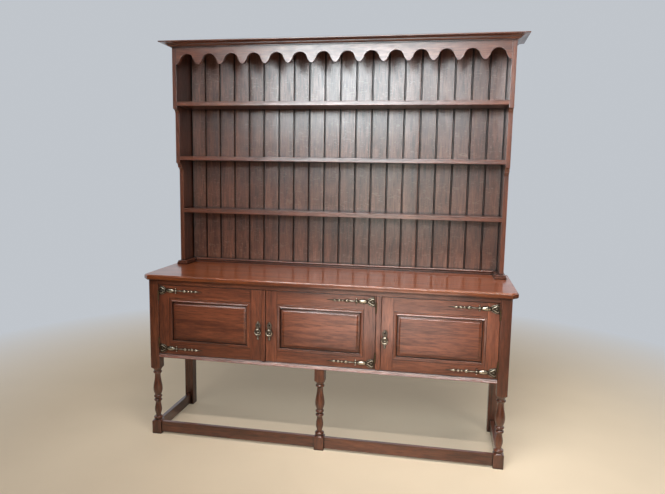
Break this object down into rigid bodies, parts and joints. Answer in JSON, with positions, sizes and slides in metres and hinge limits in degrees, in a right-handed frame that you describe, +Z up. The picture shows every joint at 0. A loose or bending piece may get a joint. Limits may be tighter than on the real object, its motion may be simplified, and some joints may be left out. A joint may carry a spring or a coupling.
{
  "type": "welsh dresser",
  "caption": "Oak Welsh dresser: panelled sideboard base with hinged doors, ring pulls and turned legs, and an open plate rack with scalloped frieze and moulded cornice.",
  "frame": {"origin": "on the floor, at the bottom centre of the bounding box, below the middle of the worktop", "axes": "+X to the right as seen from the front, the front faces -Y, +Z up"},
  "size_m": [1.832, 0.5, 2.004],
  "materials": {
    "stained_oak": "satin mahogany-stained oak",
    "worktop_oak": "polished mahogany-stained oak",
    "back_oak": "satin mahogany-stained oak boards",
    "aged_brass": "aged, cast"
  },
  "bodies": {
    "carcass": {"leg_front_left": "stained_oak", "leg_front_middle": "stained_oak", "leg_front_right": "stained_oak", "leg_back_left": "stained_oak", "leg_back_right": "stained_oak", "stretcher_front_left": "stained_oak", "stretcher_front_right": "stained_oak", "stretcher_side_left": "stained_oak", "stretcher_side_right": "stained_oak", "end_panel_left": "stained_oak", "end_panel_right": "stained_oak", "cupboard_back": "stained_oak", "back_rail_lower": "stained_oak", "cupboard_floor": "stained_oak", "bottom_rail": "stained_oak", "top_rail": "stained_oak", "divider_post": "stained_oak", "partition": "stained_oak", "worktop": "worktop_oak", "hinge_leaves_fixed": "aged_brass", "rack_side_left": "stained_oak", "rack_side_right": "stained_oak", "shelf_upper": "stained_oak", "shelf_middle": "stained_oak", "shelf_lower": "stained_oak", "back_boards": "back_oak", "frieze": "stained_oak", "cornice_front": "stained_oak", "cornice_returns": "stained_oak", "rack_top_board": "stained_oak", "rack_feet": "stained_oak", "rack_bottom_rail": "stained_oak"},
    "door_left": {"door_left_frame": "stained_oak", "door_left_panel": "stained_oak", "door_left_moulding": "stained_oak", "door_left_bead": "stained_oak", "door_left_straps": "aged_brass", "door_left_hinge_leaves": "aged_brass", "door_left_handle_plate": "aged_brass", "door_left_bolt_staples": "aged_brass"},
    "door_middle": {"door_middle_frame": "stained_oak", "door_middle_panel": "stained_oak", "door_middle_moulding": "stained_oak", "door_middle_straps": "aged_brass", "door_middle_hinge_leaves": "aged_brass", "door_middle_handle_plate": "aged_brass", "door_middle_lock": "aged_brass"},
    "door_right": {"door_right_frame": "stained_oak", "door_right_panel": "stained_oak", "door_right_moulding": "stained_oak", "door_right_straps": "aged_brass", "door_right_hinge_leaves": "aged_brass", "door_right_handle_plate": "aged_brass", "door_right_lock": "aged_brass"},
    "ring_left": {"door_left_ring": "aged_brass"},
    "ring_middle": {"door_middle_ring": "aged_brass"},
    "ring_right": {"door_right_ring": "aged_brass"},
    "inside_bolt": {"door_left_bolt": "aged_brass"},
    "lock_bolt_middle": {"door_middle_lock_bolt": "aged_brass"},
    "lock_bolt_right": {"door_right_lock_bolt": "aged_brass"}
  },
  "joints": [
    {"name": "door_left_hinge", "type": "hinge", "parent": "carcass", "child": "door_left", "pos_m": [-0.82625, -0.226, 0.606], "axis": [0, 0, -1], "range_deg": [0, 110]},
    {"name": "door_middle_hinge", "type": "hinge", "parent": "carcass", "child": "door_middle", "pos_m": [0.26575, -0.226, 0.606], "axis": [0, 0, 1], "range_deg": [0, 95]},
    {"name": "door_right_hinge", "type": "hinge", "parent": "carcass", "child": "door_right", "pos_m": [0.82625, -0.226, 0.606], "axis": [0, 0, 1], "range_deg": [0, 110]},
    {"name": "ring_left_swing", "type": "hinge", "parent": "door_left", "child": "ring_left", "pos_m": [-0.308, -0.2325, 0.58845], "axis": [-1, 0, 0], "range_deg": [0, 100]},
    {"name": "ring_middle_swing", "type": "hinge", "parent": "door_middle", "child": "ring_middle", "pos_m": [-0.2505, -0.2325, 0.58845], "axis": [-1, 0, 0], "range_deg": [0, 100]},
    {"name": "ring_right_swing", "type": "hinge", "parent": "door_right", "child": "ring_right", "pos_m": [0.31, -0.2325, 0.58845], "axis": [-1, 0, 0], "range_deg": [0, 100]},
    {"name": "inside_bolt_slide", "type": "slide", "parent": "door_left", "child": "inside_bolt", "axis": [0, 0, 1], "range_m": [0, 0.008]},
    {"name": "lock_bolt_middle_slide", "type": "slide", "parent": "door_middle", "child": "lock_bolt_middle", "axis": [-1, 0, 0], "range_m": [0, 0.007]},
    {"name": "lock_bolt_right_slide", "type": "slide", "parent": "door_right", "child": "lock_bolt_right", "axis": [-1, 0, 0], "range_m": [0, 0.007]}
  ]
}
